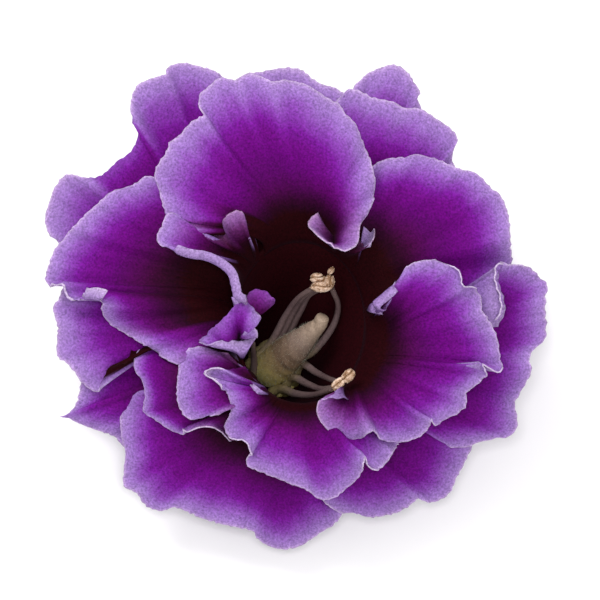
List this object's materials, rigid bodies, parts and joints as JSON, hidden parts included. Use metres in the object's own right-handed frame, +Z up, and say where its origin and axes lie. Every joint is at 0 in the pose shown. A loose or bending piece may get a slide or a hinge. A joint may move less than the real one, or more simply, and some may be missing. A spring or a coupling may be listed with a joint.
{
  "type": "gloxinia flower",
  "caption": "Double gloxinia bloom: wavy velvety petal lobes in whorls round a dark throat with pistil and stamens, standing on its calyx.",
  "frame": {"origin": "under the middle of the bloom's box, on the surface that the sepals rest on", "axes": "+Z up from the surface; the face leans 15 degrees toward -Y, and +X is to the right of someone looking at the face from -Y"},
  "size_m": [0.0912, 0.0848, 0.0505],
  "materials": {
    "petals": "velvety petal, near-black maroon throat to violet, pale lilac margin",
    "calyx": "soft hairy green sepal",
    "pistil": "smooth waxy olive-yellow",
    "filaments": "smooth, slightly translucent pale strand",
    "anthers": "matte pollen-dusted cream"
  },
  "bodies": {
    "root": {"outer_corolla": "petals", "inner_corolla": "petals", "calyx": "calyx", "pistil": "pistil", "filaments": "filaments", "anthers_upper": "anthers", "anther_lower": "anthers"}
  },
  "joints": []
}
